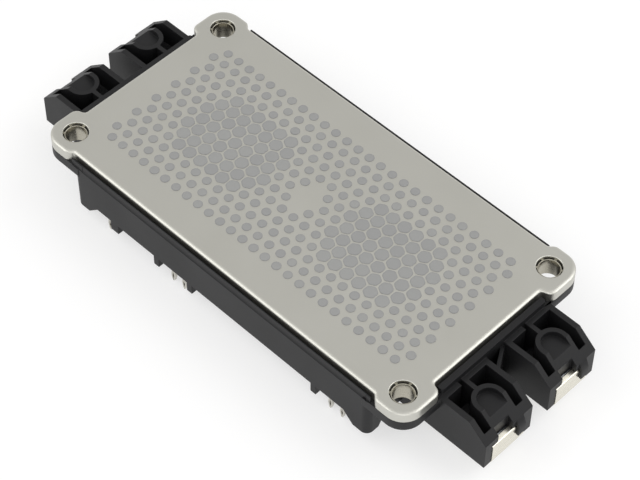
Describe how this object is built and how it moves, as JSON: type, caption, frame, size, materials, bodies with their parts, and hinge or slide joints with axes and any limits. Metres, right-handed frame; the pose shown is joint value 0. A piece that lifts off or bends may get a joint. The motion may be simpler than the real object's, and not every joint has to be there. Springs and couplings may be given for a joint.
{
  "type": "igbt power module",
  "caption": "Flat half-bridge power semiconductor module with a nickel-plated base plate, printed thermal paste pads, screw terminals at both ends and press-fit control pins.",
  "frame": {"origin": "centre of the cooling face, at the centre of the four heatsink bolt holes", "axes": "+Z leaves the cooling face (up in the picture), +X runs along the module towards the end with the bright terminal ends in the picture (lower right), +Y is across it, away from the side with the single row of five visible pins"},
  "size_m": [0.152, 0.062, 0.0206],
  "materials": {
    "nickel_plate": "satin nickel plating",
    "thermal_paste": "matte",
    "black_plastic": "matte moulded",
    "sleeve_metal": "satin",
    "nut_steel": "zinc plated",
    "terminal_metal": "bright nickel plating",
    "pin_metal": "tin plated",
    "solder": "satin",
    "bare_copper": "satin",
    "ceramic": "matte",
    "silicon": "polished",
    "bond_aluminium": "satin",
    "thermistor_body": "matte",
    "gel": "clear soft gel"
  },
  "bodies": {
    "root": {"base_plate": "nickel_plate", "bond_ribbons_1": "bond_aluminium", "bond_ribbons_2": "bond_aluminium", "bond_ribbons_3": "bond_aluminium", "control_pin_1": "pin_metal", "control_pin_2": "pin_metal", "control_pin_3": "pin_metal", "control_pin_4": "pin_metal", "control_pin_5": "pin_metal", "control_pin_6": "pin_metal", "control_pin_7": "pin_metal", "diode_chips_1": "silicon", "diode_chips_2": "silicon", "diode_chips_3": "silicon", "housing_frame": "black_plastic", "housing_lid": "black_plastic", "igbt_chips_1": "silicon", "igbt_chips_2": "silicon", "igbt_chips_3": "silicon", "mounting_sleeve_1": "sleeve_metal", "mounting_sleeve_2": "sleeve_metal", "mounting_sleeve_3": "sleeve_metal", "mounting_sleeve_4": "sleeve_metal", "silicone_gel": "gel", "substrate_back_copper_1": "bare_copper", "substrate_back_copper_2": "bare_copper", "substrate_back_copper_3": "bare_copper", "substrate_ceramic_1": "ceramic", "substrate_ceramic_2": "ceramic", "substrate_ceramic_3": "ceramic", "substrate_links": "bare_copper", "substrate_solder_1": "solder", "substrate_solder_2": "solder", "substrate_solder_3": "solder", "substrate_tracks_1": "bare_copper", "substrate_tracks_2": "bare_copper", "substrate_tracks_3": "bare_copper", "terminal_ac_1": "terminal_metal", "terminal_ac_2": "terminal_metal", "terminal_dc_minus": "terminal_metal", "terminal_dc_plus": "terminal_metal", "terminal_nut_1": "nut_steel", "terminal_nut_2": "nut_steel", "terminal_nut_3": "nut_steel", "terminal_nut_4": "nut_steel", "thermal_paste_print": "thermal_paste", "thermistor": "thermistor_body"}
  },
  "joints": []
}
